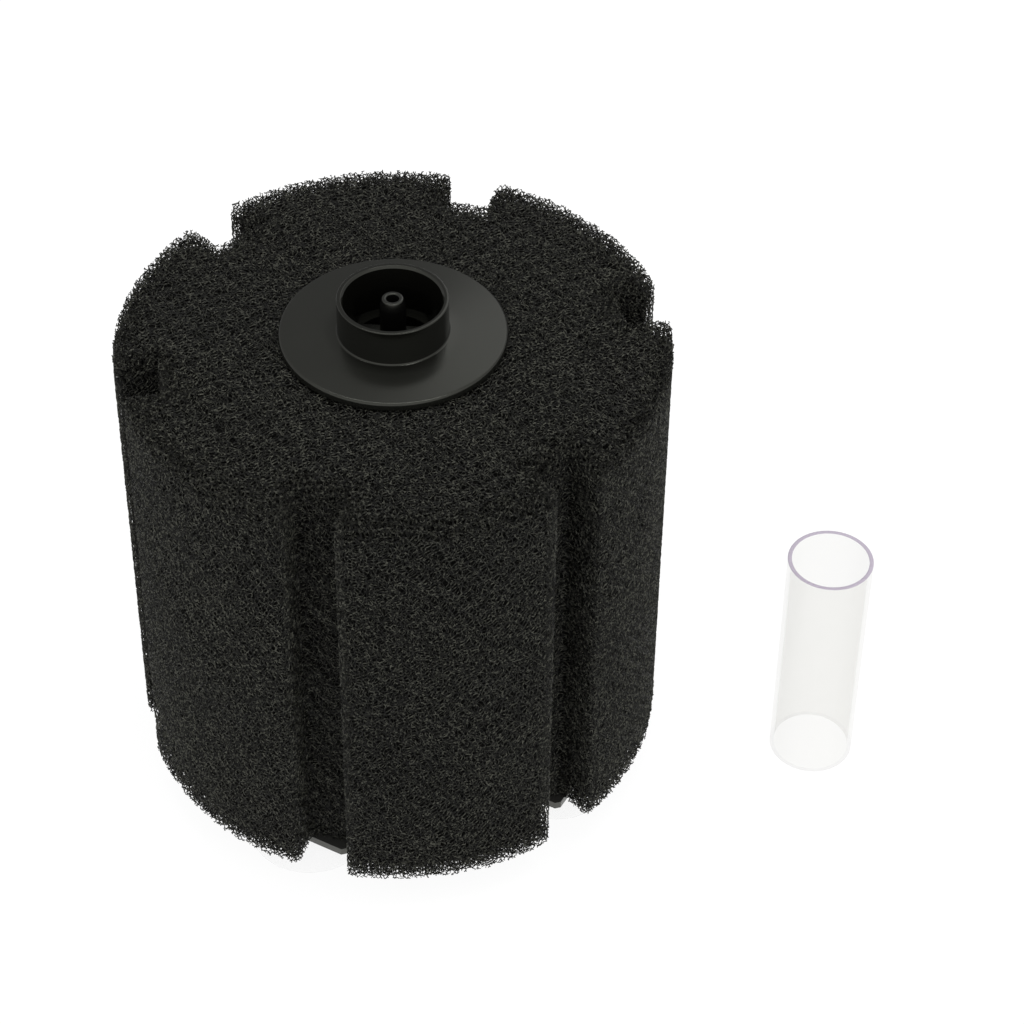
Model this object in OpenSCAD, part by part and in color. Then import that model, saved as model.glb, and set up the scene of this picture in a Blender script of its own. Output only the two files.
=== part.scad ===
// Air-driven sponge filter: a slotted foam cylinder on a strainer pipe, held between
// a suction-cup base and a flanged cap, with a loose clear lift tube standing beside it.
// Millimetres, +Z up. The origin is the centre of the base, on the floor.

/* [Sponge] */
// Outer diameter of the foam cylinder
sponge_d = 124; // [112:1:150]
// Height of the foam cylinder
sponge_h = 112; // [80:1:150]
// Width of each upright slot in the foam
slot_w = 11; // [6:0.5:14]
// Depth of each slot, measured in from the outer face
slot_depth = 10; // [5:0.5:16]
// Direction of each hand-cut slot about the axis, in degrees from +X
slot_az = [13, 74, 136, 195, 255, 312]; // [0:1:359]

/* [Base] */
// Distance from the axis to the flat end of each of the base's arms
base_reach = 52; // [50:0.5:56]
// Width of each arm
arm_w = 30; // [26:1:36]
// Thickness of the base plate
plate_t = 2; // [1.5:0.1:3]
// Height of the plate's underside above the floor, set by the suction cups
stand_h = 6.8; // [6:0.1:8]
// Distance of each suction cup from the axis
cup_at_r = 43; // [38:1:44]
// Rim radius of a suction cup
cup_r = 14.5; // [10:0.5:15]
// Direction of the first arm and its suction cup, in degrees from +X
cup_az = 62; // [50:1:70]

/* [Strainer pipe] */
// Outer diameter of the strainer pipe
pipe_d = 25; // [24:0.5:26]
// Wall thickness of the strainer pipe
pipe_t = 1.5; // [1:0.1:2]
// Number of slot columns round the pipe
slot_columns = 8; // [4:1:10]
// Number of slot rows up the pipe
slot_rows = 4; // [2:1:5]

/* [Cap] */
// Diameter of the cap's flange
flange_d = 50.8; // [40:0.2:60]
// Thickness of the flange
flange_t = 2; // [1.5:0.1:3]
// Outer diameter of the collar that takes the lift tube
collar_d = 24.8; // [24.6:0.2:28]
// Height of the collar above the flange
collar_h = 8.8; // [7:0.2:14]
// Depth of the lift tube's socket below the collar's rim
socket_depth = 12; // [10:0.5:14]

/* [Air line] */
// Diameter of the air nipple
nipple_d = 5.8; // [5:0.1:7]
// Diameter of the air way through the nipple
airway_d = 2.8; // [2:0.1:3]
// Outer diameter of the air pipe inside the strainer
air_pipe_d = 5; // [4.5:0.1:5.5]
// Outer diameter of the air diffuser
diffuser_d = 12; // [9:0.5:14]

/* [Lift tube] */
// Outer diameter of the clear lift tube
tube_d = 20; // [18:0.5:20]
// Wall thickness of the lift tube
tube_t = 1; // [0.8:0.1:1.5]
// Length of the lift tube
tube_len = 62; // [40:1:200]
// Distance of the loose lift tube to the right of the axis
tube_x = 101; // [90:1:150]
// Distance of the loose lift tube behind the axis
tube_y = -8; // [-60:1:60]

/* [Hidden] */
$fn = 96;
eps = 0.01;

black_plastic = [0.11, 0.11, 0.11];
black_foam = [0.06, 0.06, 0.06];
clear_vinyl = [0.85, 0.9, 0.92, 0.5];
clear_acrylic = [0.92, 0.92, 0.96, 0.4];

// Clearances
soft_gap = 0.3;    // between the foam and what it slides over
rest_gap = 0.1;    // between faces that rest on each other
push_gap = 0.15;   // radial, between a spigot and its pipe

// Heights
plate_top = stand_h + plate_t;
sponge_z = plate_top + rest_gap;
flange_z = sponge_z + sponge_h + rest_gap;
flange_top = flange_z + flange_t;
rim_z = flange_top + collar_h;
ledge_z = rim_z - socket_depth;

// Base plate details
disc_r = base_reach - 8;
arm_corner = 1;
arc_steps = 12;
rib_h = 1.2;
rib_w = 1.6;
rib_inset = 2;
hub_r = 10;
hub_w = 1.6;
hub_h = 1.5;
boss_h = 10;
spigot_wall = 2;
spigot_r = pipe_d / 2 - pipe_t - push_gap;
spigot_inner_r = spigot_r - spigot_wall;

// Suction cup details
cup_count = 4;
neck_r = 3.1;
neck_hole_r = neck_r + 0.2;
shoulder_r = 4.2;
head_r = 4.4;
head_h = 2.7;
pocket_r = head_r + 0.8;
pocket_h = head_h + 0.7;

// Strainer slots
strainer_slot_w = 3;
strainer_margin = 12;
strainer_bridge = 4;
strainer_pitch = (sponge_h - 2 * strainer_margin) / slot_rows;
strainer_slot_h = strainer_pitch - strainer_bridge;
strainer_first_z = sponge_z + strainer_margin + strainer_pitch / 2;

// Cap details
lead_in_r = 0.45;
lead_in_h = 0.5;
taper_r = 0.85;
taper_h = 4.5;
rim_wall = 0.95;
edge_r = 0.45;
spigot_h = 10;
socket_r = collar_d / 2 - rim_wall - lead_in_r - taper_r;

// Air injector details
bar_w = 5;
bar_t = 2.4;
bar_turn = -3;
bar_r = socket_r - 0.3;
cone_h = 2;
tip_d = 4.7;
stub_r = 3.5;
stub_h = 8;
stub_socket_h = 6;
pipe_fit = 0.05;

// Air pipe and diffuser details
pipe_push = 5.8;
air_pipe_t = 0.9;
diffuser_z = 12;
diffuser_h = 14;
diffuser_socket_h = 6;
diffuser_wall_z = 2;
chamber_r = 2;
jet_d = 1.2;
jet_count = 8;
jet_rows = [4, 6.5];
air_pipe_z = diffuser_z + diffuser_h - pipe_push;
air_pipe_top = ledge_z - stub_h + pipe_push;

// A ring of material between two radii
module ring(r_outer, r_inner, h) {
    difference() {
        cylinder(r = r_outer, h = h);
        translate([0, 0, -eps]) cylinder(r = r_inner, h = h + 2 * eps);
    }
}

// Places its children at each suction cup's centre
module at_cup(i) {
    rotate([0, 0, cup_az + i * 360 / cup_count]) translate([cup_at_r, 0, 0]) children();
}

// A point turned about the axis
function turned(p, az) = [p[0] * cos(az) - p[1] * sin(az), p[0] * sin(az) + p[1] * cos(az)];

// A round plate with a flat, cut-cornered arm over each suction cup
module plate_outline() {
    side = arm_w / 2;
    meet = asin(side / disc_r);
    gap = 360 / cup_count;
    arm_end = [
        [base_reach - arm_corner, -side], [base_reach, -side + arm_corner],
        [base_reach, side - arm_corner], [base_reach - arm_corner, side]
    ];
    polygon([
        for (i = [0 : cup_count - 1]) each concat(
            [for (p = arm_end) turned(p, cup_az + i * gap)],
            [for (k = [0 : arc_steps])
                turned([disc_r, 0], cup_az + i * gap + meet + (gap - 2 * meet) * k / arc_steps)]
        )
    ]);
}

// The plate with a spigot for the strainer pipe, and a hub ring and ribs below
module base_plate() {
    rib_start = hub_r + hub_w / 2;
    color(black_plastic) difference() {
        union() {
            translate([0, 0, stand_h]) linear_extrude(height = plate_t) plate_outline();
            translate([0, 0, plate_top - eps]) ring(spigot_r, spigot_inner_r, boss_h);
            for (i = [0 : cup_count - 1]) {
                rotate([0, 0, cup_az + (i + 0.5) * 360 / cup_count])
                    translate([rib_start, -rib_w / 2, stand_h - rib_h])
                        cube([disc_r - rib_inset - rib_start, rib_w, rib_h + eps]);
            }
            translate([0, 0, stand_h - hub_h]) ring(hub_r + hub_w, hub_r, hub_h + eps);
        }
        for (i = [0 : cup_count - 1]) {
            at_cup(i) translate([0, 0, stand_h - eps]) cylinder(r = neck_hole_r, h = plate_t + 2 * eps);
        }
    }
}

// A soft cup with a neck through the plate and a head above it
module suction_cup(i) {
    under = stand_h - 0.1;
    over = plate_top + 0.1;
    color(clear_vinyl) at_cup(i) rotate_extrude() polygon([
        [cup_r, 0], [cup_r, 0.7], [cup_r * 0.86, 1.5], [cup_r * 0.66, 2.9], [cup_r * 0.46, 4.1],
        [shoulder_r, 5.2], [shoulder_r, under], [neck_r, under],
        [neck_r, over], [head_r, over], [head_r, over + 0.9], [head_r * 0.8, over + 2],
        [head_r * 0.4, over + head_h], [0, over + head_h],
        [0, 3.9], [cup_r * 0.2, 3.5], [cup_r * 0.42, 2.6], [cup_r * 0.66, 1.4], [cup_r - 1.3, 0]
    ]);
}

// An upright slot with round ends, cut through the wall on the +X side
module strainer_slot() {
    straight = strainer_slot_h - strainer_slot_w;
    rotate([90, 0, 90]) linear_extrude(height = pipe_d) {
        square([strainer_slot_w, straight], center = true);
        for (end = [-1, 1]) {
            translate([0, end * straight / 2]) circle(d = strainer_slot_w);
        }
    }
}

module strainer_pipe() {
    pipe_z = plate_top + rest_gap / 2;
    color(black_plastic) difference() {
        translate([0, 0, pipe_z])
            ring(pipe_d / 2, pipe_d / 2 - pipe_t, flange_z - 2 * rest_gap - pipe_z);
        for (row = [0 : slot_rows - 1], column = [0 : slot_columns - 1]) {
            translate([0, 0, strainer_first_z + row * strainer_pitch])
                rotate([0, 0, column * 360 / slot_columns]) strainer_slot();
        }
    }
}

module sponge() {
    color(black_foam) difference() {
        translate([0, 0, sponge_z]) cylinder(d = sponge_d, h = sponge_h, $fn = 180);
        translate([0, 0, sponge_z - eps]) cylinder(d = pipe_d + 2 * soft_gap, h = sponge_h + 2 * eps);
        for (az = slot_az) {
            rotate([0, 0, az])
                translate([sponge_d / 2 - slot_depth, -slot_w / 2, sponge_z - eps])
                    cube([slot_depth * 2, slot_w, sponge_h + 2 * eps]);
        }
        for (i = [0 : cup_count - 1]) {
            at_cup(i) translate([0, 0, sponge_z - eps]) cylinder(r = pocket_r, h = pocket_h);
        }
    }
}

// Flange, collar and spigot, turned as one section
module top_cap() {
    flange_r = flange_d / 2;
    collar_r = collar_d / 2;
    spigot_z = flange_z - spigot_h;
    round_r = 0.3 * edge_r;
    color(black_plastic) rotate_extrude($fn = 128) polygon([
        [spigot_r - edge_r, spigot_z], [spigot_r, spigot_z + edge_r], [spigot_r, flange_z],
        [flange_r - edge_r, flange_z], [flange_r, flange_z + edge_r],
        [flange_r, flange_top - edge_r], [flange_r - round_r, flange_top - round_r],
        [flange_r - edge_r, flange_top],
        [collar_r + edge_r, flange_top], [collar_r + round_r, flange_top + round_r],
        [collar_r, flange_top + edge_r],
        [collar_r, rim_z - edge_r], [collar_r - round_r, rim_z - round_r], [collar_r - edge_r, rim_z],
        [collar_r - rim_wall, rim_z], [socket_r + taper_r, rim_z - lead_in_h],
        [socket_r, rim_z - lead_in_h - taper_h], [socket_r, ledge_z], [spigot_inner_r, ledge_z], [spigot_inner_r, spigot_z]
    ]);
}

// Bridge bar that rests on the cap's ledge, with the nipple above it and a pipe socket below
module air_injector() {
    nipple_r = nipple_d / 2;
    bar_top = ledge_z + bar_t;
    color(black_plastic) difference() {
        union() {
            intersection() {
                translate([0, 0, ledge_z]) cylinder(r = bar_r, h = bar_t);
                rotate([0, 0, bar_turn]) translate([-bar_r, -bar_w / 2, ledge_z])
                    cube([2 * bar_r, bar_w, bar_t]);
            }
            translate([0, 0, bar_top - eps]) cylinder(r = nipple_r, h = rim_z - cone_h - bar_top + eps);
            translate([0, 0, rim_z - cone_h]) cylinder(r1 = nipple_r, r2 = tip_d / 2, h = cone_h);
            translate([0, 0, ledge_z - stub_h]) cylinder(r = stub_r, h = stub_h + bar_t);
        }
        translate([0, 0, ledge_z - stub_h - eps])
            cylinder(d = airway_d, h = stub_h + socket_depth + 2 * eps);
        translate([0, 0, ledge_z - stub_h - eps])
            cylinder(r = air_pipe_d / 2 + pipe_fit, h = stub_socket_h + eps);
    }
}

module air_pipe() {
    color(black_plastic) translate([0, 0, air_pipe_z])
        ring(air_pipe_d / 2, air_pipe_d / 2 - air_pipe_t, air_pipe_top - air_pipe_z);
}

// Hollow plug on the pipe's lower end, with rings of small jets
module air_diffuser() {
    body_r = diffuser_d / 2;
    chamfer = 1;
    chamber_h = diffuser_h - diffuser_socket_h - diffuser_wall_z;
    color(black_plastic) translate([0, 0, diffuser_z]) difference() {
        rotate_extrude() polygon([
            [0, 0], [body_r - chamfer, 0], [body_r, chamfer], [body_r, diffuser_h - chamfer],
            [body_r - chamfer, diffuser_h], [0, diffuser_h]
        ]);
        translate([0, 0, diffuser_h - diffuser_socket_h])
            cylinder(r = air_pipe_d / 2 + pipe_fit, h = diffuser_socket_h + eps);
        translate([0, 0, diffuser_wall_z]) cylinder(r = chamber_r, h = chamber_h + eps);
        for (z = jet_rows, i = [0 : jet_count - 1]) {
            translate([0, 0, z]) rotate([0, 90, i * 360 / jet_count])
                cylinder(d = jet_d, h = diffuser_d, $fn = 16);
        }
    }
}

module lift_tube() {
    color(clear_acrylic) translate([tube_x, tube_y, 0])
        ring(tube_d / 2, tube_d / 2 - tube_t, tube_len);
}

base_plate();
suction_cup(0);  // suction_cup_1
suction_cup(1);  // suction_cup_2
suction_cup(2);  // suction_cup_3
suction_cup(3);  // suction_cup_4
strainer_pipe();
sponge();
top_cap();
air_injector();
air_pipe();
air_diffuser();
lift_tube();
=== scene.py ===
import math

import bmesh
import bpy
import numpy as np
from mathutils import Matrix, Vector


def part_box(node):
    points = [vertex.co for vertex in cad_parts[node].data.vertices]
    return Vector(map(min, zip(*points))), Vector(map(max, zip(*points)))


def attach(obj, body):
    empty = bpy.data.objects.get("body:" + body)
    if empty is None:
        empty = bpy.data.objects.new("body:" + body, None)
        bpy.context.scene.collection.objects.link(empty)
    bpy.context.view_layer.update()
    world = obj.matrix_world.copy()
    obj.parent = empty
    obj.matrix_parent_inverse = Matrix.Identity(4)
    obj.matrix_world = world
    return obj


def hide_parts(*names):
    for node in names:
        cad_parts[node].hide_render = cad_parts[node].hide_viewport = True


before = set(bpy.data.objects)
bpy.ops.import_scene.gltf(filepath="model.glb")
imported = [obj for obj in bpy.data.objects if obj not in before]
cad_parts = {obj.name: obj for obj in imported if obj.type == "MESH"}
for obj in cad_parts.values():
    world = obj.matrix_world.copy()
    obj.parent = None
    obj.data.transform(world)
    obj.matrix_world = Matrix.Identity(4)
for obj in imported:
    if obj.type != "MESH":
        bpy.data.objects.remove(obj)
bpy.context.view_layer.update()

MM = 0.001

# The foam's cut shape, in millimetres, and the directions of its slots, in degrees
SLOT_AZIMUTHS = (13, 74, 136, 195, 255, 312)
SLOT_WIDTH = 11
SLOT_DEPTH = 10
SLOT_ROOT_R = 0.8
CORNER_R = 1.6
RIM_R = 0.9
HOLE_CLEARANCE = 0.3
# Points along a slot's corner, wall and root, along the rim between slots, and around the hole
CORNER_STEPS = 10
WALL_STEPS = 28
ROOT_STEPS = 6
RIM_STEPS = 180
HOLE_STEPS = 96
# A distance that counts as nowhere near
FAR = 1e3

# The dark core, drawn in from the cut shape, and its pockets for the suction cups' heads
CORE_INSET = 1.5
CORE_RIM_R = 4.4
CORE_CORNER_R = 1.2
POCKET_R = 5.2
POCKET_H = 3.4
CUP_AT_R = 43
CUP_AZIMUTH = 62
CUP_COUNT = 4

# The nets: size of a pore, half width and height of a strut, and how uneven the cells are
PORE_PITCH = 1.0
STRUT_HALF = 0.11
STRUT_DROP = 0.2
SHAKE = 0.62
SQUEEZE = 0.85
DRIFT_ALONG = 0.27
DRIFT_UP = 0.24
# Each drift wave: its length in pores and its slant
DRIFT_WAVES = ((5.3, 0.9), (8.1, -1.3), (13.0, 0.55), (3.7, 1.7))
# Each net: its nearest and furthest depth, its share of broken struts, and how far from a rim it thins out
OUTER_NET = (0.0, 0.3, 0.1, 3.6)
INNER_NET = (0.75, 1.3, 0.05, 4.4)
# First keys of the random numbers of each net, and of the rims' struts
SIDE_SEEDS = (11, 17)
END_SEEDS = (31, 37)
UNDERSIDE_SEED_STEP = 10
LATTICE_SEED = 50
STRUT_SEED = 77

# The bands of open cells along the rims
LATTICE_CELL = 1.85
LATTICE_REACH = 6.2
LATTICE_STRUT_R = 0.115
LATTICE_SHAKE = 0.3
LATTICE_DRIFT = 0.35
RAGGED = 0.28

# The cap, in millimetres. The rest of its sizes come from its CAD node
FLANGE_LIFT = 0.1
FLANGE_T = 2
COLLAR_R = 12.4
COLLAR_WALL = 0.95
SOCKET_R = 10.15
SOCKET_DEPTH = 12
LEAD_IN = 0.5
LEAD_IN_RUN = 0.45
TAPER_END = 5
SPIGOT_R = 10.85
SPIGOT_BORE_R = 8.85

# The air injector, in millimetres
AIRWAY_R = 1.4
PIPE_SOCKET_R = 2.55
STUB_R = 3.5
NIPPLE_R = 2.9
TIP_R = 2.35
TIP_H = 2
BAR_SIZE = (19.4, 5, 2.4)
BAR_TURN = -3
BAR_BEVEL = 0.3
# Hair gap left under the bridge bar and over the floor, so that no two surfaces lie in one plane
SEAT_GAP = 0.03

# The lift tube, in millimetres
TUBE_WALL = 1
TUBE_EDGE = 0.12

# Looks that several materials share
PLASTIC_SHEEN = (0.98, 1.0, 0.88, 1.0)
WHITE = (1, 1, 1, 1)
CLEAR_IOR = 1.49
# Where the polished collar gives way to the satin flange, in metres from the axis
POLISHED_TO = 0.0126
SATIN_FROM = 0.0136

# Camera, in millimetres and degrees
CAMERA_AT = (26.76, -514.99, 548.09)
CAMERA_DOWN = 42.97
CAMERA_ROLL = 0.81
CAMERA_LENS = 106.24
SENSOR = 36

# Studio, in metres and watts
AIM = (0, 0, 0.12)
WORLD_FRONT = 1.48
WORLD_BACK = 0.26
FLOOR_GLOW = 0.92
FLOOR_REACH = 4000

scene = bpy.context.scene
collection = scene.collection


def box_mm(node):
    """The lowest and highest corners of a CAD node, in millimetres."""
    low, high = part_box(node)
    return np.array(low) / MM, np.array(high) / MM


# ---------------------------------------------------------------- meshes


def mesh_piece(name, verts, faces, smooth=True):
    """An object from vertices in millimetres and faces that all have the same number of corners."""
    faces = np.asarray(faces, np.int32)
    mesh = bpy.data.meshes.new(name)
    mesh.vertices.add(len(verts))
    mesh.vertices.foreach_set("co", (np.asarray(verts) * MM).astype(np.float32).ravel())
    mesh.loops.add(faces.size)
    mesh.loops.foreach_set("vertex_index", faces.ravel())
    mesh.polygons.add(len(faces))
    mesh.polygons.foreach_set("loop_start", np.arange(0, faces.size, faces.shape[1], dtype=np.int32))
    mesh.polygons.foreach_set("use_smooth", np.full(len(faces), smooth))
    mesh.update(calc_edges=True)
    mesh.validate()
    piece = bpy.data.objects.new(name, mesh)
    collection.objects.link(piece)
    return piece


def finish_piece(piece, body, slot, material, *nodes):
    """Gives a piece its material and its CAD body, and hides the CAD nodes that it stands for. The slot
    argument is not used.
    """
    piece.data.materials.clear()
    piece.data.materials.append(material)
    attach(piece, body)
    if nodes:
        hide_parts(*nodes)
    return piece


def apply_modifiers(piece):
    """Bakes a piece's modifiers into its mesh."""
    graph = bpy.context.evaluated_depsgraph_get()
    made = bpy.data.meshes.new_from_object(piece.evaluated_get(graph))
    piece.modifiers.clear()
    old = piece.data
    piece.data = made
    made.name = piece.name
    bpy.data.meshes.remove(old)


def combine(piece, tool, operation):
    """Adds the tool's solid to the piece, or cuts it out, and removes the tool."""
    cut = piece.modifiers.new("combine", "BOOLEAN")
    cut.operation = operation
    cut.object = tool
    cut.solver = "EXACT"
    bpy.context.view_layer.update()
    apply_modifiers(piece)
    bpy.data.objects.remove(tool)


def shade_by_angle(piece, degrees):
    """Smooth shading with creases where faces meet at more than the angle."""
    mesh = piece.data
    mesh.polygons.foreach_set("use_smooth", np.full(len(mesh.polygons), True))
    mesh.set_sharp_from_angle(angle=math.radians(degrees))


def rounded(corners, steps=5):
    """A closed profile of (radius, height) points from corners (radius, height, rounding)."""
    points = []
    count = len(corners)
    for i, (r, z, size) in enumerate(corners):
        here = Vector((r, z))
        if size == 0:
            points.append(here)
            continue
        before = Vector(corners[i - 1][:2]) - here
        after = Vector(corners[(i + 1) % count][:2]) - here
        half = before.angle(after) / 2
        back = size / math.tan(half)
        middle = here + (before.normalized() + after.normalized()).normalized() * (size / math.sin(half))
        start = here + before.normalized() * back - middle
        end = here + after.normalized() * back - middle
        turn = start.angle_signed(end)
        for k in range(steps + 1):
            spin = Matrix.Rotation(-turn * k / steps, 2)
            points.append(middle + spin @ start)
    return [(p.x, p.y) for p in points]


def lathe(name, profile, segments=192, at=(0, 0)):
    """Turns a closed (radius, height) profile about an upright axis, which points at radius 0 lie on."""
    around = np.linspace(0, 2 * np.pi, segments, endpoint=False)
    r, z = np.array(profile).T
    x = at[0] + np.outer(np.cos(around), r)
    y = at[1] + np.outer(np.sin(around), r)
    verts = np.stack([x, y, np.broadcast_to(z, x.shape)], -1).reshape(-1, 3)
    count = len(profile)
    i, j = np.meshgrid(np.arange(segments), np.arange(count), indexing="ij")
    a = i * count + j
    b = i * count + (j + 1) % count
    c = (i + 1) % segments * count + (j + 1) % count
    d = (i + 1) % segments * count + j
    piece = mesh_piece(name, verts, np.stack([a, d, c, b], -1).reshape(-1, 4))
    tidy = bmesh.new()
    tidy.from_mesh(piece.data)
    bmesh.ops.remove_doubles(tidy, verts=tidy.verts, dist=1e-7)
    bmesh.ops.dissolve_degenerate(tidy, edges=tidy.edges, dist=1e-7)
    bmesh.ops.recalc_face_normals(tidy, faces=tidy.faces)
    tidy.to_mesh(piece.data)
    tidy.free()
    return piece


# ---------------------------------------------------------------- foam shape

foam_low, foam_high = box_mm("sponge")
FOAM_R = float((foam_high - foam_low)[:2].max() / 2)
FOAM_BOTTOM, FOAM_TOP = float(foam_low[2]), float(foam_high[2])
pipe_low, pipe_high = box_mm("strainer_pipe")
HOLE_R = float((pipe_high - pipe_low)[0] / 2 + HOLE_CLEARANCE)


def arc(cx, cy, radius, start, end, count):
    """Points and unit directions along an arc."""
    turn = np.linspace(start, end, count)
    direction = np.stack([np.cos(turn), np.sin(turn)], -1)
    return np.array([cx, cy]) + radius * direction, direction


def straight(start, end, normal, count):
    """Points along a line without its ends, and their normal."""
    t = np.linspace(0, 1, count + 2)[1:-1, None]
    points = np.array(start) * (1 - t) + np.array(end) * t
    return points, np.broadcast_to(np.array(normal, float), points.shape)


def slot_path(radius, half, root, corner, root_r):
    """One slot's edge in its own axes, +X outward, from the rim's -Y side to its +Y side."""
    side = half + corner
    cx = math.sqrt((radius - corner) ** 2 - side**2)
    lean = math.atan2(side, cx)
    outer, outer_n = arc(cx, -side, corner, -lean, math.pi / 2, CORNER_STEPS)
    wall, wall_n = straight((cx, -half), (root + root_r, -half), (0, 1), WALL_STEPS)
    inner, inner_n = arc(root + root_r, -half + root_r, root_r, -math.pi / 2, -math.pi, ROOT_STEPS)
    floor, floor_n = straight((root, -half + root_r), (root, half - root_r), (1, 0), WALL_STEPS)
    points = np.concatenate([outer, wall, inner, floor])
    normals = np.concatenate([outer_n, wall_n, -inner_n, floor_n])
    mirror = np.array([1, -1])
    back = np.concatenate([outer, wall, inner])[::-1] * mirror
    back_n = np.concatenate([outer_n, wall_n, -inner_n])[::-1] * mirror
    return np.concatenate([points, back]), np.concatenate([normals, back_n])


def foam_outline(inset, corner):
    """The foam's slotted outline, drawn in by inset: points and outward normals, anticlockwise."""
    radius = FOAM_R - inset
    root = FOAM_R - SLOT_DEPTH - inset
    half = SLOT_WIDTH / 2 + inset
    points, normals = slot_path(radius, half, root, corner, SLOT_ROOT_R + inset)
    reach = math.atan2(-points[0][1], points[0][0])
    found, found_n = [], []
    for i, degrees in enumerate(SLOT_AZIMUTHS):
        az = math.radians(degrees)
        turn = np.array([[math.cos(az), math.sin(az)], [-math.sin(az), math.cos(az)]])
        found.append(points @ turn)
        found_n.append(normals @ turn)
        following = math.radians(SLOT_AZIMUTHS[(i + 1) % len(SLOT_AZIMUTHS)])
        span = (following - az) % (2 * math.pi)
        rim, rim_n = arc(0, 0, radius, az + reach, az + span - reach, RIM_STEPS)
        found.append(rim[1:-1])
        found_n.append(rim_n[1:-1])
    return np.concatenate(found), np.concatenate(found_n)


def outline_depth(x, y, corner):
    """How far inside the foam's outline a point is, in millimetres, with its corners rounded."""
    rim = FOAM_R - np.hypot(x, y)
    slots = np.full(x.shape, FAR)
    for degrees in SLOT_AZIMUTHS:
        az = math.radians(degrees)
        u = x * math.cos(az) + y * math.sin(az)
        v = -x * math.sin(az) + y * math.cos(az)
        du = FOAM_R - SLOT_DEPTH - u
        dv = np.abs(v) - SLOT_WIDTH / 2
        away = np.where(u > 0, np.maximum(du, dv), FAR)
        beyond = np.hypot(np.maximum(du, 0), np.maximum(dv, 0))
        slots = np.minimum(slots, np.where((u > 0) & (du > 0) & (dv > 0), beyond, away))
    near = np.minimum(rim, slots)
    round_off = corner - np.hypot(np.maximum(corner - rim, 0), np.maximum(corner - slots, 0))
    return np.where(near < corner, np.minimum(near, round_off), near)


def cup_centres():
    """The places of the suction cups, and so of the pockets over their heads."""
    turns = [math.radians(CUP_AZIMUTH + i * 360 / CUP_COUNT) for i in range(CUP_COUNT)]
    return [(CUP_AT_R * math.cos(turn), CUP_AT_R * math.sin(turn)) for turn in turns]


def pocket_gap(x, y):
    """How far outside the pockets for the suction cups' heads a point is."""
    gap = np.full(x.shape, FAR)
    for centre in cup_centres():
        gap = np.minimum(gap, np.hypot(x - centre[0], y - centre[1]) - POCKET_R)
    return gap


# ---------------------------------------------------------------- foam nets


def chance(*keys):
    """Repeatable numbers from 0 to 1, one for each set of whole-number keys."""
    mixed = np.zeros(np.broadcast(*keys).shape, np.uint64)
    for i, key in enumerate(keys):
        mixed ^= np.asarray(key, np.int64).astype(np.uint64) * np.uint64(0x9E3779B97F4A7C15 + 2 * i)
        mixed ^= mixed >> np.uint64(29)
        mixed *= np.uint64(0xBF58476D1CE4E5B9)
        mixed ^= mixed >> np.uint64(32)
    return (mixed >> np.uint64(11)).astype(float) / 2**53


def honeycomb(width, height, pitch, wrap, seed):
    """An uneven honeycomb over a width by height sheet: corner places, and each cell's six corners."""
    edge = pitch / math.sqrt(3)
    columns = 2 * round(width / pitch)
    rows = math.ceil(height / (1.5 * edge)) + 1
    step = width / columns
    count = columns if wrap else columns + 1
    j, i = np.meshgrid(np.arange(rows + 1), np.arange(count), indexing="ij")
    lift = np.where((i + j) % 2 == 0, edge / 4, -edge / 4)
    u = i * step
    v = (j - 0.5) * 1.5 * edge + lift
    # some upright edges shrink, so that cells with four, five and six sides mix
    upright = np.where((i + j) % 2 == 0, j, j - 1)
    squeeze = chance(i, upright, seed) ** 1.5 * SQUEEZE * edge / 2
    v = v + np.where((i + j) % 2 == 0, squeeze, -squeeze)
    u = u + (chance(i, j, seed + 1) - 0.5) * SHAKE * edge
    v = v + (chance(i, j, seed + 2) - 0.5) * SHAKE * edge
    # a drift hides the straight rows. Its waves fit the width a whole number of times
    turn = 2 * math.pi / width * i * step
    flat, upright = u * 0, v / pitch
    for k, (span, slant) in enumerate(DRIFT_WAVES):
        phase = round(width / (span * pitch)) * turn + slant * upright + 1.9 * k + seed
        flat = flat + DRIFT_ALONG * pitch * np.sin(phase)
        upright = upright + DRIFT_UP * np.cos(1.1 * phase + k)
    u, v = u + flat, upright * pitch
    a, b = np.meshgrid(np.arange(rows), np.arange(count if wrap else count - 2), indexing="ij")
    keep = (a + b) % 2 == 0
    a, b = a[keep], b[keep]
    around = [(0, 0), (0, 1), (0, 2), (1, 2), (1, 1), (1, 0)]
    cells = np.stack([(a + da) * count + (b + db) % count for da, db in around], -1)
    return u.ravel(), v.ravel(), cells


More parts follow.
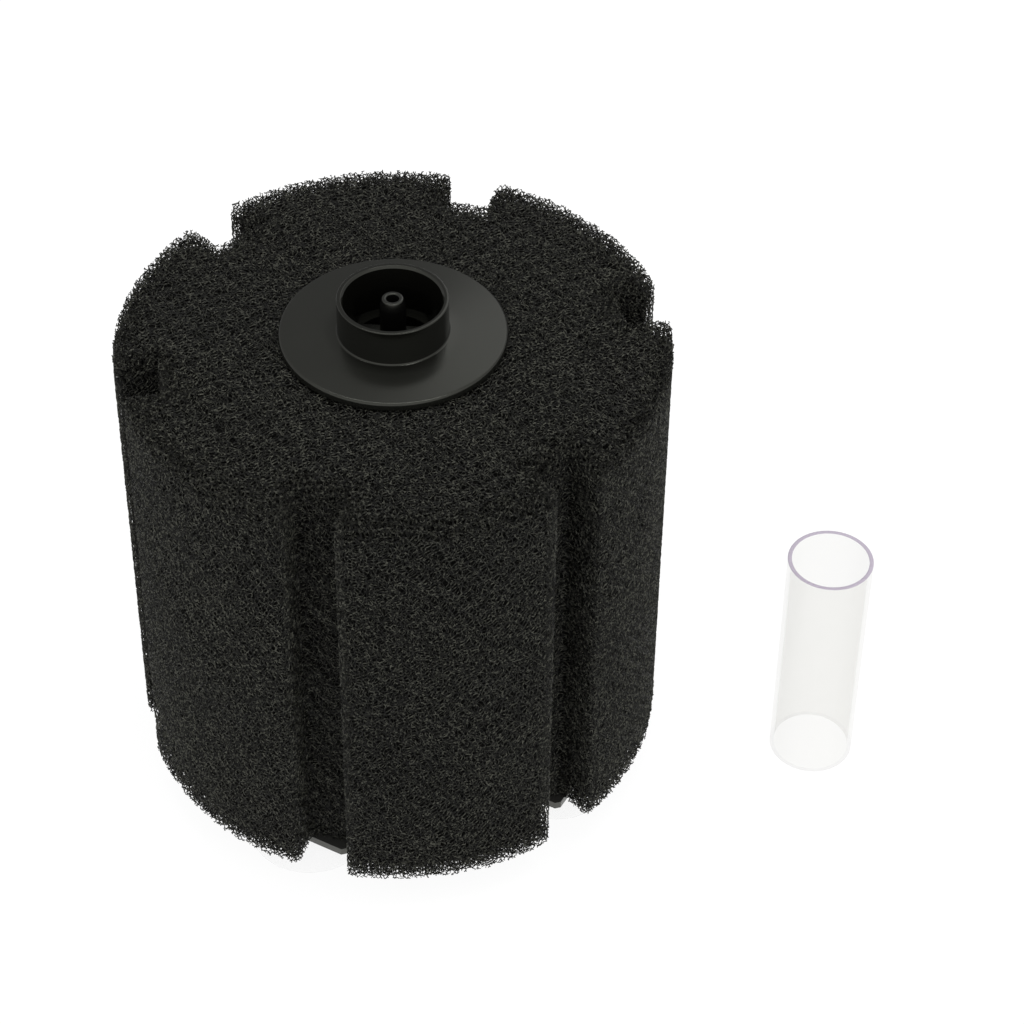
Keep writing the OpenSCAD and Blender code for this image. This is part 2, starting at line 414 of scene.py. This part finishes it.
def ridge_net(name, u, v, cells, place, seed, net, from_rim, wrap_width=None):
    """A net of roof-shaped struts along the cells' edges. place(u, v, depth) gives points in space."""
    nearest, furthest, broken_share, thin_out = net
    used, cells = np.unique(cells, return_inverse=True)
    cells = cells.reshape(-1, 6)
    u, v = u[used], v[used]
    depth = nearest + (furthest - nearest) * chance(used, seed) ** 1.4
    cu, cv = u[cells], v[cells]
    if wrap_width:
        cu = cu[:, :1] + (cu - cu[:, :1] + wrap_width / 2) % wrap_width - wrap_width / 2
    mu, mv = cu.mean(1, keepdims=True), cv.mean(1, keepdims=True)
    du, dv = mu - cu, mv - cv
    length = np.maximum(np.hypot(du, dv), 1e-6)
    half = STRUT_HALF * (0.7 + 0.7 * chance(used, seed + 1))[cells]
    pull = np.minimum(half / length, 0.6)
    ridge = place(u, v, depth)
    inner = place(cu + du * pull, cv + dv * pull, depth[cells] + STRUT_DROP).reshape(-1, 3)
    inner_ids = len(ridge) + np.arange(cells.size).reshape(cells.shape)
    following, inner_following = np.roll(cells, -1, 1), np.roll(inner_ids, -1, 1)
    # broken struts leave larger pores, and near a rim most are missing
    open_rim = np.clip(1 - from_rim(u, v) / thin_out, 0, 1) ** 0.6
    lost = broken_share + (1 - broken_share) * open_rim
    lost = np.maximum(lost[cells], lost[following])
    broken = chance(used[np.minimum(cells, following)], used[np.maximum(cells, following)], seed) < lost
    quads = np.stack([cells, following, inner_following, inner_ids], -1)[~broken]
    verts = np.concatenate([ridge, inner])
    kept, quads = np.unique(quads, return_inverse=True)
    return mesh_piece(name, verts[kept], quads.reshape(-1, 4))


def side_nets(material):
    """Nets over the outer wall and the slots' walls, one for each lobe."""
    points, normals = foam_outline(0, CORNER_R)
    loop = np.concatenate([points, points[:1]])
    loop_n = np.concatenate([normals, normals[:1]])
    along = np.concatenate([[0], np.cumsum(np.hypot(*np.diff(loop, axis=0).T))])
    length = along[-1]
    height = FOAM_TOP - FOAM_BOTTOM

    def place(u, v, depth):
        s = u % length
        x, y = np.interp(s, along, loop[:, 0]), np.interp(s, along, loop[:, 1])
        nx, ny = np.interp(s, along, loop_n[:, 0]), np.interp(s, along, loop_n[:, 1])
        size = np.hypot(nx, ny)
        inward = np.clip(np.minimum(v, height - v), 0, RIM_R)
        bend = RIM_R - np.sqrt(RIM_R**2 - (RIM_R - inward) ** 2)
        back = (depth + bend) / size
        z = FOAM_BOTTOM + np.clip(v, 0, height)
        return np.stack([x - nx * back, y - ny * back, z], -1)

    def from_rim(u, v):
        return np.minimum(v, height - v)

    for label, net, seed in zip(("outer", "inner"), (OUTER_NET, INNER_NET), SIDE_SEEDS):
        u, v, cells = honeycomb(length, height, PORE_PITCH, True, seed)
        middle_v = v[cells].mean(1)
        cells = cells[(middle_v > 0.2) & (middle_v < height - 0.2)]
        first = u[cells[:, 0]] % length
        each = len(points) // len(SLOT_AZIMUTHS)
        starts = along[[k * each + each // 8 for k in range(len(SLOT_AZIMUTHS))]]
        lobe = np.searchsorted(starts, first) % len(starts)
        for k in range(len(starts)):
            name = f"foam_side_{k + 1}_{label}"
            piece = ridge_net(name, u, v, cells[lobe == k], place, seed + 1, net, from_rim, length)
            finish_piece(piece, "foam", "black_foam", material)


def end_nets(name, z, sign, material):
    """Nets over the foam's top or bottom face."""
    size = 2 * FOAM_R

    def place(u, v, depth):
        return np.stack([u - FOAM_R, v - FOAM_R, z - sign * depth], -1)

    def from_rim(u, v):
        return outline_depth(u - FOAM_R, v - FOAM_R, CORNER_R)

    for label, net, seed in zip(("outer", "inner"), (OUTER_NET, INNER_NET), END_SEEDS):
        u, v, cells = honeycomb(size, size, PORE_PITCH, False, seed + (sign < 0) * UNDERSIDE_SEED_STEP)
        x, y = u[cells] - FOAM_R, v[cells] - FOAM_R
        inside = (outline_depth(x, y, CORNER_R).min(1) > 0.1) & (np.hypot(x, y).min(1) > HOLE_R)
        if sign < 0:
            inside &= pocket_gap(x, y).min(1) > 0
            cells = cells[:, ::-1]
        piece = ridge_net(f"{name}_{label}", u, v, cells[inside], place, seed + 1, net, from_rim)
        finish_piece(piece, "foam", "black_foam", material)


def rim_lattice(name, z_rim, sign, material, parts=3):
    """A band of open foam cells along a rim, between the nets and the rounded core."""
    q = LATTICE_CELL / 4
    reach = round(FOAM_R / q) + 2
    deep = math.ceil(LATTICE_REACH / q) + 2
    base = round(z_rim / q)
    span = np.arange(-reach, reach + 1)
    levels = base - sign * np.arange(-2, deep)
    i, j, k = (g.ravel() for g in np.meshgrid(span, span, levels, indexing="ij"))
    near = outline_depth(i * q, j * q, CORNER_R) < LATTICE_REACH + 1
    grid = np.stack([i, j, k], -1)[near]
    residue = grid % 4
    corner = ((residue == 0).sum(1) == 1) & ((residue == 2).sum(1) == 1)
    grid, residue = grid[corner], residue[corner]
    rows = np.arange(len(grid))
    zero, two = (residue == 0).argmax(1), (residue == 2).argmax(1)
    odd = 3 - zero - two
    toward = np.where(residue[rows, odd] == 1, 1, -1)
    ends = []
    for axis, way in ((two, 1), (zero, -1)):
        for side in (-1, 1):
            other = grid.copy()
            other[rows, odd] += way * toward
            other[rows, axis] += side
            ends.append(np.stack([grid, other], 1))
    pairs = np.concatenate(ends)
    key = pairs @ np.array([1, 4096, 4096**2])
    pairs = pairs[key[:, 0] < key[:, 1]]

    def position(c):
        keys = c[..., 0], c[..., 1], c[..., 2]
        shake = np.stack([chance(*keys, LATTICE_SEED + n) for n in range(3)], -1) - 0.5
        p = c * q + shake * LATTICE_SHAKE * LATTICE_CELL
        x, y, z = p[..., 0], p[..., 1], p[..., 2]
        drift = np.stack([np.sin(y * 0.9 + 1), np.sin(z * 1.3 + 2), np.sin(x * 0.8)], -1)
        return p + LATTICE_DRIFT * drift

    def depths(p):
        x, y, z = p[..., 0], p[..., 1], p[..., 2]
        side_depth = outline_depth(x, y, CORNER_R)
        end_depth = sign * (z_rim - z)
        corner_depth = RIM_R - np.hypot(np.maximum(RIM_R - side_depth, 0), np.maximum(RIM_R - end_depth, 0))
        surface = np.minimum(np.minimum(side_depth, end_depth), corner_depth)
        worn = np.sin(1.1 * x + 2 * np.sin(0.7 * y)) + np.sin(1.3 * y + 2 * np.sin(0.9 * x + z))
        return surface - RAGGED * (0.5 + 0.5 * worn), side_depth + end_depth

    p = position(pairs)
    surface, total = depths(p)
    hold = (surface > 0) & (total < LATTICE_REACH)
    keep = hold.any(1) & (total < LATTICE_REACH + 0.6).all(1)
    p, surface = p[keep], surface[keep]
    cut = surface < 0
    a, b = p[:, 0], p[:, 1]
    change = surface - surface[:, ::-1]
    share = surface / np.where(np.abs(change) < 1e-6, 1, change)
    share = np.clip(np.where(cut, share, 0), 0, 1)[..., None]
    a, b = a + (b - a) * share[:, 0], b + (a - b) * share[:, 1]
    long_enough = np.linalg.norm(b - a, axis=1) > 0.05
    a, b = a[long_enough], b[long_enough]
    sector = ((np.arctan2(a[:, 1], a[:, 0]) / (2 * math.pi)) % 1 * parts).astype(int)
    for n in range(parts):
        mine = sector == n
        piece = struts(f"{name}_{n + 1}", a[mine], b[mine])
        finish_piece(piece, "foam", "black_foam", material)


def struts(name, a, b):
    """Three-sided struts between pairs of points, each of one random thickness along its length."""
    along = b - a
    along /= np.linalg.norm(along, axis=1, keepdims=True)
    up = np.where(np.abs(along[:, 2:]) > 0.8, [1.0, 0, 0], [0, 0, 1.0])
    across = np.cross(along, up)
    across /= np.linalg.norm(across, axis=1, keepdims=True)
    other = np.cross(along, across)
    size = LATTICE_STRUT_R * (0.65 + 0.7 * chance(np.arange(len(a)), STRUT_SEED))[:, None]
    rings = []
    for point in (a - along * 0.05, b + along * 0.05):
        for turn in (0, 2 * math.pi / 3, 4 * math.pi / 3):
            spoke = math.cos(turn) * across + math.sin(turn) * other
            rings.append(point + size * spoke)
    verts = np.stack(rings, 1).reshape(-1, 3)
    base = np.arange(len(a))[:, None] * 6
    sides = []
    for k in range(3):
        following = (k + 1) % 3
        sides.append(np.concatenate([base + k, base + following, base + 3 + following, base + 3 + k], 1))
    return mesh_piece(name, verts, np.stack(sides, 1).reshape(-1, 4))


def foam_core(material):
    """The inside of the foam, a closed solid with rounded rims under the nets, whose dark colour is painted
    shade of the deeper cells.
    """
    turns = np.linspace(0, math.pi / 2, 8)
    insets = CORE_INSET + CORE_RIM_R * (1 - np.cos(turns))
    drops = CORE_INSET + CORE_RIM_R * (1 - np.sin(turns))
    levels = [(i, FOAM_BOTTOM + d) for i, d in zip(insets[::-1], drops[::-1])]
    levels += [(i, FOAM_TOP - d) for i, d in zip(insets, drops)]
    rings = [foam_outline(inset, CORE_CORNER_R)[0] for inset, _ in levels]
    count = len(rings[0])
    verts = [np.column_stack([ring, np.full(count, z)]) for ring, (_, z) in zip(rings, levels)]
    around = np.linspace(0, 2 * math.pi, HOLE_STEPS, endpoint=False)
    hole = np.stack([np.cos(around), np.sin(around)], -1) * HOLE_R
    low, high = levels[0][1], levels[-1][1]
    verts += [np.column_stack([hole, np.full(HOLE_STEPS, z)]) for z in (low, high)]
    build = bmesh.new()
    made = [[build.verts.new(p * MM) for p in ring] for ring in verts]
    for lower, upper in zip(made[:-3], made[1:-2]):
        for n in range(count):
            m = (n + 1) % count
            build.faces.new((lower[n], lower[m], upper[m], upper[n]))
    for n in range(HOLE_STEPS):
        m = (n + 1) % HOLE_STEPS
        build.faces.new((made[-2][m], made[-2][n], made[-1][n], made[-1][m]))
    for outer, inner in ((made[0], made[-2]), (made[-3], made[-1])):
        edges = []
        for ring in (outer, inner):
            edges += [build.edges.get((ring[n], ring[n - 1])) for n in range(len(ring))]
        bmesh.ops.triangle_fill(build, edges=edges, use_beauty=True)
    bmesh.ops.recalc_face_normals(build, faces=build.faces)
    mesh = bpy.data.meshes.new("foam_core")
    build.to_mesh(mesh)
    build.free()
    core = bpy.data.objects.new("foam_core", mesh)
    collection.objects.link(core)
    below, top = FOAM_BOTTOM - 1, FOAM_BOTTOM + POCKET_H
    profile = [(0, below), (POCKET_R, below), (POCKET_R, top), (0, top)]
    for centre in cup_centres():
        combine(core, lathe("pocket", profile, 48, centre), "DIFFERENCE")
    shade_by_angle(core, 40)
    finish_piece(core, "foam", "black_foam", material, "sponge")


# ---------------------------------------------------------------- materials


def new_material(name):
    """A node material with one Principled shader, and a function that adds nodes to it."""
    material = bpy.data.materials.new(name)
    material.use_nodes = True
    nodes, links = material.node_tree.nodes, material.node_tree.links
    shader = next(n for n in nodes if n.type == "BSDF_PRINCIPLED")

    def add(kind, inputs=(), **settings):
        node = nodes.new(kind)
        for key, value in settings.items():
            setattr(node, key, value)
        for key, value in dict(inputs).items():
            if isinstance(value, bpy.types.NodeSocket):
                links.new(value, node.inputs[key])
            else:
                node.inputs[key].default_value = value
        return node

    return material, shader, add, links


def ramp(add, value, *stops):
    """A colour ramp with grey or RGB stops (place, colour)."""
    node = add("ShaderNodeValToRGB", {"Fac": value})
    elements = node.color_ramp.elements
    while len(elements) < len(stops):
        elements.new(0.5)
    for element, (place, colour) in zip(elements, stops):
        element.position = place
        grey = isinstance(colour, (int, float))
        element.color = (colour,) * 3 + (1,) if grey else tuple(colour) + (1,)
    return node.outputs["Color"]


def strut_material():
    """Black foam struts: most are dark, with a random tone from piece to piece, and here and there a short
    piece made light as a painted highlight.
    """
    material, shader, add, links = new_material("foam_struts")
    place = add("ShaderNodeTexCoord").outputs["Object"]
    speck = add("ShaderNodeTexVoronoi", {"Vector": place, "Scale": 2200.0})
    broad = add("ShaderNodeTexNoise", {"Vector": place, "Scale": 45.0, "Detail": 3.0})
    # dark and mid are random strut tone; the light tone is painted highlight on short pieces
    dark, mid, light = (0.0026, 0.0026, 0.002), (0.0158, 0.016, 0.0127), (0.089, 0.09, 0.072)
    tone = ramp(add, speck.outputs["Color"], (0.35, dark), (0.58, mid), (0.85, light))
    patch = ramp(add, broad.outputs["Fac"], (0.3, 0.75), (0.7, 1.0))
    mixed = add("ShaderNodeMixRGB", {"Fac": 1.0, "Color1": tone, "Color2": patch}, blend_type="MULTIPLY")
    links.new(mixed.outputs["Color"], shader.inputs["Base Color"])
    rough = ramp(add, broad.outputs["Fac"], (0.3, 0.45), (0.7, 0.6))
    links.new(rough, shader.inputs["Roughness"])
    shader.inputs["Specular IOR Level"].default_value = 0.2
    return material


def core_material():
    """The foam's inside, near black as painted shade of the deeper cells, with painted shade in the hollows
    of the cells that show through the nets.
    """
    material, shader, add, links = new_material("foam_inside")
    place = add("ShaderNodeTexCoord").outputs["Object"]
    cells = add("ShaderNodeTexVoronoi", {"Vector": place, "Scale": 800.0}, feature="DISTANCE_TO_EDGE")
    # painted shade: walls of the deeper cells near black, and their hollows darker still
    wall, shaded_hollow = (0.009, 0.009, 0.0078), (0.002, 0.002, 0.0018)
    tone = ramp(add, cells.outputs["Distance"], (0.0, wall), (0.16, shaded_hollow))
    links.new(tone, shader.inputs["Base Color"])
    bump = add("ShaderNodeBump", {"Height": cells.outputs["Distance"], "Strength": 0.6, "Distance": 0.0006})
    bump.invert = True
    links.new(bump.outputs["Normal"], shader.inputs["Normal"])
    shader.inputs["Roughness"].default_value = 0.9
    shader.inputs["Specular IOR Level"].default_value = 0.05
    return material


def moulded_plastic(name, shine):
    """What the black plastics share: a broad mottle, a fine grain and the tint of their shine."""
    material, shader, add, links = new_material(name)
    place = add("ShaderNodeTexCoord").outputs["Object"]
    broad = add("ShaderNodeTexNoise", {"Vector": place, "Scale": 60.0, "Detail": 4.0})
    grain = add("ShaderNodeTexNoise", {"Vector": place, "Scale": 2600.0, "Detail": 2.0})
    bump = add("ShaderNodeBump", {"Height": grain.outputs["Fac"], "Strength": 0.3, "Distance": 0.00001})
    links.new(bump.outputs["Normal"], shader.inputs["Normal"])
    shader.inputs["Specular IOR Level"].default_value = shine
    shader.inputs["Specular Tint"].default_value = PLASTIC_SHEEN
    return material, shader, add, links, place, broad.outputs["Fac"]


def plastic_material(name, dark, light):
    """Injection-moulded plastic, between two greys, with a fine satin grain."""
    material, shader, add, links, _, mottle = moulded_plastic(name, 0.5)
    links.new(ramp(add, mottle, (0.3, dark), (0.7, light)), shader.inputs["Base Color"])
    links.new(ramp(add, mottle, (0.3, 0.15), (0.7, 0.24)), shader.inputs["Roughness"])
    return material


def cap_material():
    """The same black plastic, polished on the collar and left satin on the flange around it."""
    material, shader, add, links, place, mottle = moulded_plastic("cap_plastic", 0.42)
    level = add("ShaderNodeVectorMath", {0: place, 1: (1.0, 1.0, 0.0)}, operation="MULTIPLY")
    reach = add("ShaderNodeVectorMath", {0: level.outputs["Vector"]}, operation="LENGTH").outputs["Value"]
    flange = ramp(add, reach, (POLISHED_TO, 0.0), (SATIN_FROM, 1.0))
    polished = ramp(add, mottle, (0.3, (0.0024, 0.0024, 0.0019)), (0.7, (0.0034, 0.0034, 0.0028)))
    satin = ramp(add, mottle, (0.3, (0.0062, 0.0064, 0.0054)), (0.7, (0.0078, 0.008, 0.0068)))
    tone = add("ShaderNodeMixRGB", {"Fac": flange, "Color1": polished, "Color2": satin})
    links.new(tone.outputs["Color"], shader.inputs["Base Color"])
    rough = ramp(add, reach, (POLISHED_TO, 0.1), (SATIN_FROM, 0.24))
    links.new(rough, shader.inputs["Roughness"])
    return material


def clear_material(name, colour, thin, thick, smear_scale, rough):
    """Clear plastic: opacity thin where it is seen face on, and thick where it is seen edge on."""
    material, shader, add, links = new_material(name)
    place = add("ShaderNodeTexCoord").outputs["Object"]
    smear = add("ShaderNodeTexNoise", {"Vector": place, "Scale": smear_scale, "Detail": 4.0})
    smeared = ramp(add, smear.outputs["Fac"], (0.4, rough), (0.75, 2.5 * rough))
    links.new(smeared, shader.inputs["Roughness"])
    edge = add("ShaderNodeLayerWeight", {"Blend": 0.3})
    density = ramp(add, edge.outputs["Facing"], (0.2, thin), (0.95, thick))
    links.new(density, shader.inputs["Alpha"])
    shader.inputs["Base Color"].default_value = tuple(colour) + (1,)
    shader.inputs["IOR"].default_value = CLEAR_IOR
    return material


# ---------------------------------------------------------------- rigid pieces


def cap_piece(material):
    """Flange, collar and spigot turned as one, with moulded roundings."""
    low, high = box_mm("top_cap")
    flange_r = (high - low)[0] / 2
    flange_z = FOAM_TOP + FLANGE_LIFT
    flange_top = flange_z + FLANGE_T
    rim = high[2]
    lip_r = COLLAR_R - COLLAR_WALL
    ledge = box_mm("air_injector")[1][2] - SOCKET_DEPTH
    corners = [
        (SPIGOT_R, low[2], 0.5),
        (SPIGOT_R, flange_z, 0.3),
        (flange_r, flange_z, 0.4),
        (flange_r, flange_top, 0.7),
        (COLLAR_R, flange_top, 0.45),
        (COLLAR_R, rim, 0.25),
        (lip_r, rim, 0.18),
        (lip_r - LEAD_IN_RUN, rim - LEAD_IN, 0.1),
        (SOCKET_R, rim - TAPER_END, 0.5),
        (SOCKET_R, ledge, 0),
        (SPIGOT_BORE_R, ledge, 0),
        (SPIGOT_BORE_R, low[2], 0.4),
    ]
    cap = lathe("cap_shell", rounded(corners), 256)
    shade_by_angle(cap, 40)
    finish_piece(cap, "cap", "black_plastic", material, "top_cap")


def injector_piece(material):
    """Nipple and pipe socket turned about the axis, joined to the bridge bar."""
    low, high = box_mm("air_injector")
    tip = high[2]
    ledge = tip - SOCKET_DEPTH
    bar_length, bar_width, bar_height = BAR_SIZE
    bar_top = ledge + bar_height
    stop = ledge - 2
    corners = [
        (AIRWAY_R, stop, 0),
        (PIPE_SOCKET_R, stop, 0),
        (PIPE_SOCKET_R, low[2], 0.2),
        (STUB_R, low[2], 0.3),
        (STUB_R, bar_top, 0.2),
        (NIPPLE_R, bar_top, 0.15),
        (NIPPLE_R, tip - TIP_H, 0.4),
        (TIP_R, tip, 0.35),
        (AIRWAY_R, tip, 0.3),
    ]
    post = lathe("air_nipple", rounded(corners, 4), 96)
    bar = bmesh.new()
    bmesh.ops.create_cube(bar, size=1)
    spin = Matrix.Rotation(math.radians(BAR_TURN), 4, "Z")
    seat = ledge + SEAT_GAP
    shape = Matrix.Translation((0, 0, (seat + bar_top) / 2 * MM)) @ spin
    shape = shape @ Matrix.Diagonal((bar_length * MM, bar_width * MM, (bar_top - seat) * MM, 1))
    bmesh.ops.transform(bar, matrix=shape, verts=bar.verts)
    bmesh.ops.bevel(bar, geom=bar.edges[:], offset=BAR_BEVEL * MM, segments=3, affect="EDGES", profile=0.5)
    mesh = bpy.data.meshes.new("bar")
    bar.to_mesh(mesh)
    bar.free()
    bridge = bpy.data.objects.new("bridge_bar", mesh)
    collection.objects.link(bridge)
    # the bar is bored out inside the post, so that joining them leaves the airway open
    bore_r, below, above = 2.0, ledge - 1, bar_top + 1
    bore = lathe("bore", [(0, below), (bore_r, below), (bore_r, above), (0, above)], 48)
    combine(bridge, bore, "DIFFERENCE")
    combine(post, bridge, "UNION")
    shade_by_angle(post, 40)
    finish_piece(post, "injector", "black_plastic", material, "air_injector")


def tube_piece(material, end_material, foot_material):
    """The loose lift tube, with lightly broken edges on its cut ends."""
    low, high = box_mm("lift_tube")
    centre = ((low + high) / 2)[:2]
    radius = (high - low)[0] / 2
    inner = radius - TUBE_WALL
    ends = (inner, low[2]), (radius, low[2]), (radius, high[2]), (inner, high[2])
    corners = [(r, z, TUBE_EDGE) for r, z in ends]
    tube = lathe("clear_tube", rounded(corners, 3), 192, centre)
    shade_by_angle(tube, 50)
    finish_piece(tube, "tube", "clear_acrylic", material, "lift_tube")
    tube.data.materials.append(end_material)
    tube.data.materials.append(foot_material)
    for face in tube.data.polygons:
        if abs(face.normal.z) > 0.3:
            face.material_index = 1 if face.center.z > 0.5 * high[2] * MM else 2


def soften_cad_node(node, material, width=0.25):
    """Keeps a CAD node, with its edges lightly rounded and a finished material."""
    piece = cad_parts[node]
    piece.data.materials.clear()
    piece.data.materials.append(material)
    weld = piece.modifiers.new("weld", "WELD")
    weld.merge_threshold = 1e-6
    bevel = piece.modifiers.new("bevel", "BEVEL")
    bevel.width = width * MM
    bevel.segments = 2
    bevel.limit_method = "ANGLE"
    bevel.angle_limit = math.radians(40)
    bevel.harden_normals = True


# ---------------------------------------------------------------- stage


def camera():
    """The photograph's view: level across, looking down along +Y."""
    data = bpy.data.cameras.new("camera")
    data.lens = CAMERA_LENS
    data.sensor_width = SENSOR
    data.clip_start = 0.05
    data.clip_end = 20
    eye = bpy.data.objects.new("camera", data)
    tilt = Matrix.Rotation(math.radians(90 - CAMERA_DOWN), 4, "X")
    roll = Matrix.Rotation(math.radians(CAMERA_ROLL), 4, "Z")
    eye.matrix_world = Matrix.Translation(Vector(CAMERA_AT) * MM) @ tilt @ roll
    collection.objects.link(eye)
    scene.camera = eye


def softbox(name, place, width, height, power):
    """A rectangular area light turned toward the object."""
    data = bpy.data.lights.new(name, "AREA")
    data.shape = "RECTANGLE"
    data.size, data.size_y = width, height
    data.energy = power
    lamp = bpy.data.objects.new(name, data)
    lamp.location = place
    lamp.rotation_euler = (Vector(AIM) - Vector(place)).to_track_quat("-Z", "Y").to_euler()
    collection.objects.link(lamp)


def surroundings():
    """White surroundings, brighter in front of the object than behind it."""
    world = bpy.data.worlds.new("studio")
    scene.world = world
    world.use_nodes = True
    nodes, links = world.node_tree.nodes, world.node_tree.links
    toward = nodes.new("ShaderNodeTexCoord")
    split = nodes.new("ShaderNodeSeparateXYZ")
    links.new(toward.outputs["Generated"], split.inputs["Vector"])
    strength = nodes.new("ShaderNodeMapRange")
    links.new(split.outputs["Y"], strength.inputs["Value"])
    strength.inputs["From Min"].default_value = -1.0
    strength.inputs["To Min"].default_value = WORLD_FRONT
    strength.inputs["To Max"].default_value = WORLD_BACK
    background = nodes["Background"]
    links.new(strength.outputs["Result"], background.inputs["Strength"])
    background.inputs["Color"].default_value = WHITE


def pale_floor():
    """A wide pale floor that glows, so that it stays plain under the object."""
    material, shader, add, links = new_material("floor")
    place = add("ShaderNodeTexCoord").outputs["Object"]
    cloud = add("ShaderNodeTexNoise", {"Vector": place, "Scale": 3.0})
    links.new(ramp(add, cloud.outputs["Fac"], (0.3, 0.12), (0.7, 0.13)), shader.inputs["Base Color"])
    shader.inputs["Roughness"].default_value = 0.9
    shader.inputs["Specular IOR Level"].default_value = 0.0
    shader.inputs["Emission Color"].default_value = WHITE
    shader.inputs["Emission Strength"].default_value = FLOOR_GLOW
    wide, deep = FLOOR_REACH, -SEAT_GAP
    corners = [(-wide, -wide, deep), (wide, -wide, deep), (wide, wide, deep), (-wide, wide, deep)]
    floor = mesh_piece("floor", corners, [(0, 1, 2, 3)])
    floor.data.materials.append(material)


def studio():
    """Pale floor, pale surroundings and soft lights."""
    surroundings()
    pale_floor()
    softbox("back_right", (0.45, 0.82, 0.92), 0.9, 0.7, 1.85)
    softbox("overhead", (0.05, 0.1, 1.2), 1.0, 0.12, 3.2)
    scene.view_settings.view_transform = "Standard"


camera()
studio()
strut = strut_material()
foam_core(core_material())
side_nets(strut)
end_nets("foam_top", FOAM_TOP, 1, strut)
end_nets("foam_bottom", FOAM_BOTTOM, -1, strut)
rim_lattice("foam_rim_top", FOAM_TOP, 1, strut)
rim_lattice("foam_rim_bottom", FOAM_BOTTOM, -1, strut)
plastic = plastic_material("black_plastic", (0.0022, 0.0022, 0.0021), (0.004, 0.004, 0.0038))
grey_plastic = plastic_material("dark_grey_plastic", (0.043, 0.043, 0.041), (0.054, 0.053, 0.05))
cap_piece(cap_material())
injector_piece(plastic)
acrylic = clear_material("clear_acrylic", (0.44, 0.43, 0.34), 0.07, 0.14, 180.0, 0.05)
acrylic_end = clear_material("clear_acrylic_end", (0.4, 0.34, 0.44), 0.85, 0.9, 180.0, 0.2)
acrylic_foot = clear_material("clear_acrylic_foot", (0.4, 0.38, 0.4), 0.12, 0.2, 180.0, 0.2)
tube_piece(acrylic, acrylic_end, acrylic_foot)
soften_cad_node("base_plate", grey_plastic)
for part in ("strainer_pipe", "air_pipe", "air_diffuser"):
    soften_cad_node(part, plastic)
vinyl = clear_material("clear_vinyl", (0.6, 0.61, 0.6), 0.03, 0.22, 220.0, 0.12)
for part in ("suction_cup_1", "suction_cup_2", "suction_cup_3", "suction_cup_4"):
    soften_cad_node(part, vinyl, 0.15)
